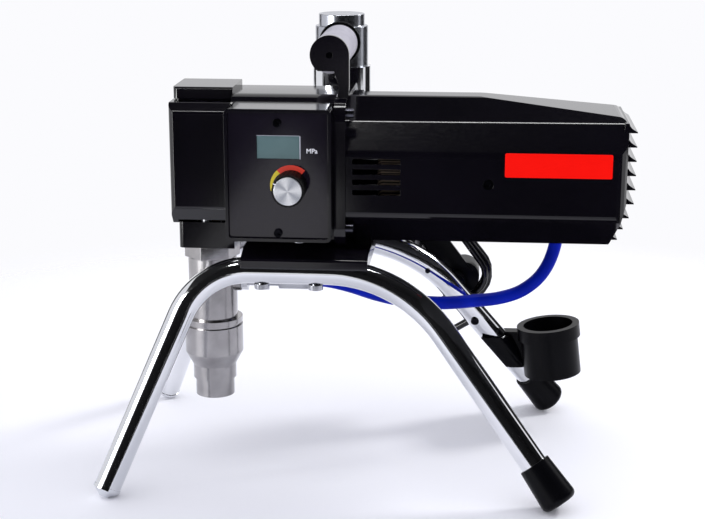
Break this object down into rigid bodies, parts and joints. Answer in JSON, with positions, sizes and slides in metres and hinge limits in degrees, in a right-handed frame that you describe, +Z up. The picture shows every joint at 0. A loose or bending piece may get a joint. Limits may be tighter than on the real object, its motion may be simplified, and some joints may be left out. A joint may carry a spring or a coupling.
{
  "type": "airless paint sprayer",
  "caption": "Electric airless paint sprayer on a tube stand, with a piston pump, control box, filter, blue hose, drip cup and wound power cord.",
  "frame": {"origin": "on the floor, under the middle of the bounding box", "axes": "+X towards the rear of the motor, +Y away from the control box, +Z up"},
  "size_m": [0.5049, 0.3198, 0.435],
  "materials": {
    "chrome_tube": "gloss",
    "black_rubber": "matte",
    "black_casting": "gloss",
    "black_plastic": "gloss",
    "dark_screw": "satin",
    "bright_steel": "satin",
    "cast_aluminium": "satin",
    "core_steel": "satin",
    "copper_wire": "satin",
    "grey_plastic": "matte",
    "pale_plastic": "matte",
    "seal_plastic": "matte",
    "packing_brass": "satin",
    "blue_hose": "satin",
    "display_glass": "gloss",
    "board_green": "satin",
    "red_plastic": "satin",
    "black_cord": "satin"
  },
  "bodies": {
    "frame": {"stand_tube_near": "chrome_tube", "stand_tube_far": "chrome_tube", "front_leg_plugs": "chrome_tube", "rear_foot_tips": "black_rubber", "base_bracket": "black_casting", "frame_bolts": "dark_screw", "gear_housing": "black_casting", "front_cover": "black_casting", "front_top_cap": "black_casting", "pump_block": "black_casting", "handle_frame": "black_casting", "handle_grip": "pale_plastic", "grip_rod": "bright_steel", "flange_bolts": "dark_screw", "motor_cover": "black_plastic", "small_screws": "dark_screw", "motor_stator": "core_steel", "motor_windings": "copper_wire", "motor_rear_bell": "cast_aluminium", "shaft_bearings": "bright_steel", "yoke_guides": "bright_steel", "packing_set": "seal_plastic", "packing_nut": "packing_brass", "pump_lock_nut": "bright_steel", "pump_cylinder": "bright_steel", "foot_valve": "bright_steel", "inlet_seat": "bright_steel", "pump_outlet_fitting": "bright_steel", "fluid_hose": "blue_hose", "control_box": "black_plastic", "control_panel": "black_plastic", "display_window": "display_glass", "control_board": "board_green", "filter_manifold": "bright_steel", "filter_bowl": "chrome_tube", "filter_element": "bright_steel", "prime_valve": "bright_steel", "drip_cup": "black_rubber", "hose_guide": "black_plastic", "cord_bracket": "black_plastic", "cord_gland": "black_cord", "cord_lead": "black_cord", "cord_hank": "black_cord", "cord_plug": "black_cord"},
    "rotor": {"motor_rotor": "bright_steel", "motor_fan": "grey_plastic", "motor_pinion": "bright_steel"},
    "layshaft": {"layshaft_gear": "bright_steel"},
    "crank": {"crank_gear": "bright_steel", "crank_roller": "bright_steel"},
    "piston_group": {"drive_yoke": "cast_aluminium", "piston_rod": "bright_steel", "piston": "bright_steel", "piston_seal": "seal_plastic"},
    "outlet_ball": {"outlet_ball": "bright_steel"},
    "inlet_ball": {"inlet_ball": "bright_steel"},
    "knob": {"pressure_knob": "black_plastic", "knob_cap": "cast_aluminium"},
    "switch": {"power_switch": "bright_steel"},
    "prime": {"prime_knob": "red_plastic"}
  },
  "joints": [
    {"name": "rotor_spin", "type": "hinge", "parent": "frame", "child": "rotor", "pos_m": [0.1, 0, 0.297], "axis": [1, 0, 0], "continuous": true},
    {"name": "layshaft_spin", "type": "hinge", "parent": "frame", "child": "layshaft", "pos_m": [-0.08, 0, 0.333], "axis": [1, 0, 0], "continuous": true},
    {"name": "crank_spin", "type": "hinge", "parent": "frame", "child": "crank", "pos_m": [-0.1, 0, 0.288], "axis": [1, 0, 0], "continuous": true},
    {"name": "piston_stroke", "type": "slide", "parent": "frame", "child": "piston_group", "axis": [0, 0, 1], "range_m": [-0.01, 0.01]},
    {"name": "outlet_ball_lift", "type": "slide", "parent": "piston_group", "child": "outlet_ball", "axis": [0, 0, 1], "range_m": [0, 0.003]},
    {"name": "inlet_ball_lift", "type": "slide", "parent": "frame", "child": "inlet_ball", "axis": [0, 0, 1], "range_m": [0, 0.004]},
    {"name": "pressure_knob_turn", "type": "hinge", "parent": "frame", "child": "knob", "pos_m": [-0.07025, -0.09, 0.294], "axis": [0, -1, 0], "range_deg": [-180, 90]},
    {"name": "power_switch_push", "type": "slide", "parent": "frame", "child": "switch", "axis": [0, 0, 1], "range_m": [0, 0.0025], "stiffness_N_per_m": 400},
    {"name": "prime_valve_turn", "type": "hinge", "parent": "frame", "child": "prime", "pos_m": [-0.041, 0.14, 0.287], "axis": [0, 1, 0], "range_deg": [0, 90]}
  ],
  "couplings": [
    {"joint": "layshaft_spin", "follows": "rotor_spin", "ratio": -0.33333},
    {"joint": "crank_spin", "follows": "rotor_spin", "ratio": 0.083333}
  ]
}
